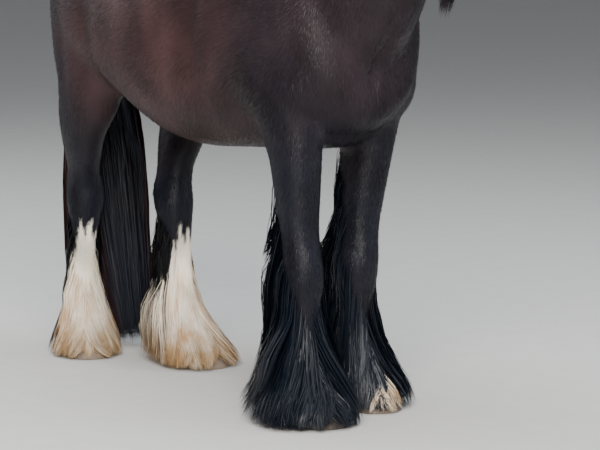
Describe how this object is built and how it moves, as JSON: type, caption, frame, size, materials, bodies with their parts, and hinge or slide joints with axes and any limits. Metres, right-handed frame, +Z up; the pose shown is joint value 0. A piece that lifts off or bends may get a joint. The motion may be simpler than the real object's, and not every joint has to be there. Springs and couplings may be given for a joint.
{
  "type": "cob horse",
  "caption": "Life-size still model of a standing black cob horse with heavy feather on its legs, white hind feather, a long tail, a full mane and its head lowered.",
  "frame": {"origin": "centre of the bounding box in plan, on the floor under the hooves", "axes": "+Z up, the horse faces -Y, its left side is towards +X"},
  "size_m": [0.6546, 2.086, 1.8047],
  "materials": {
    "coat": "short dark fur with a soft sheen",
    "long_hair": "long dark hair",
    "dark_feather": "long dark hair",
    "white_feather": "long cream-white hair",
    "dark_horn": "dull dark hoof horn",
    "pale_horn": "dull pale hoof horn",
    "eye": "wet gloss"
  },
  "bodies": {
    "root": {"ear_left": "coat", "ear_right": "coat", "eye_left": "eye", "eye_right": "eye", "fore_left_hoof": "pale_horn", "fore_left_lower": "dark_feather", "fore_left_upper": "coat", "fore_right_hoof": "dark_horn", "fore_right_lower": "dark_feather", "fore_right_upper": "coat", "head": "coat", "hind_left_hoof": "pale_horn", "hind_left_lower": "white_feather", "hind_left_upper": "coat", "hind_right_hoof": "pale_horn", "hind_right_lower": "white_feather", "hind_right_upper": "coat", "neck": "coat", "tail": "long_hair", "torso": "coat"}
  },
  "joints": []
}
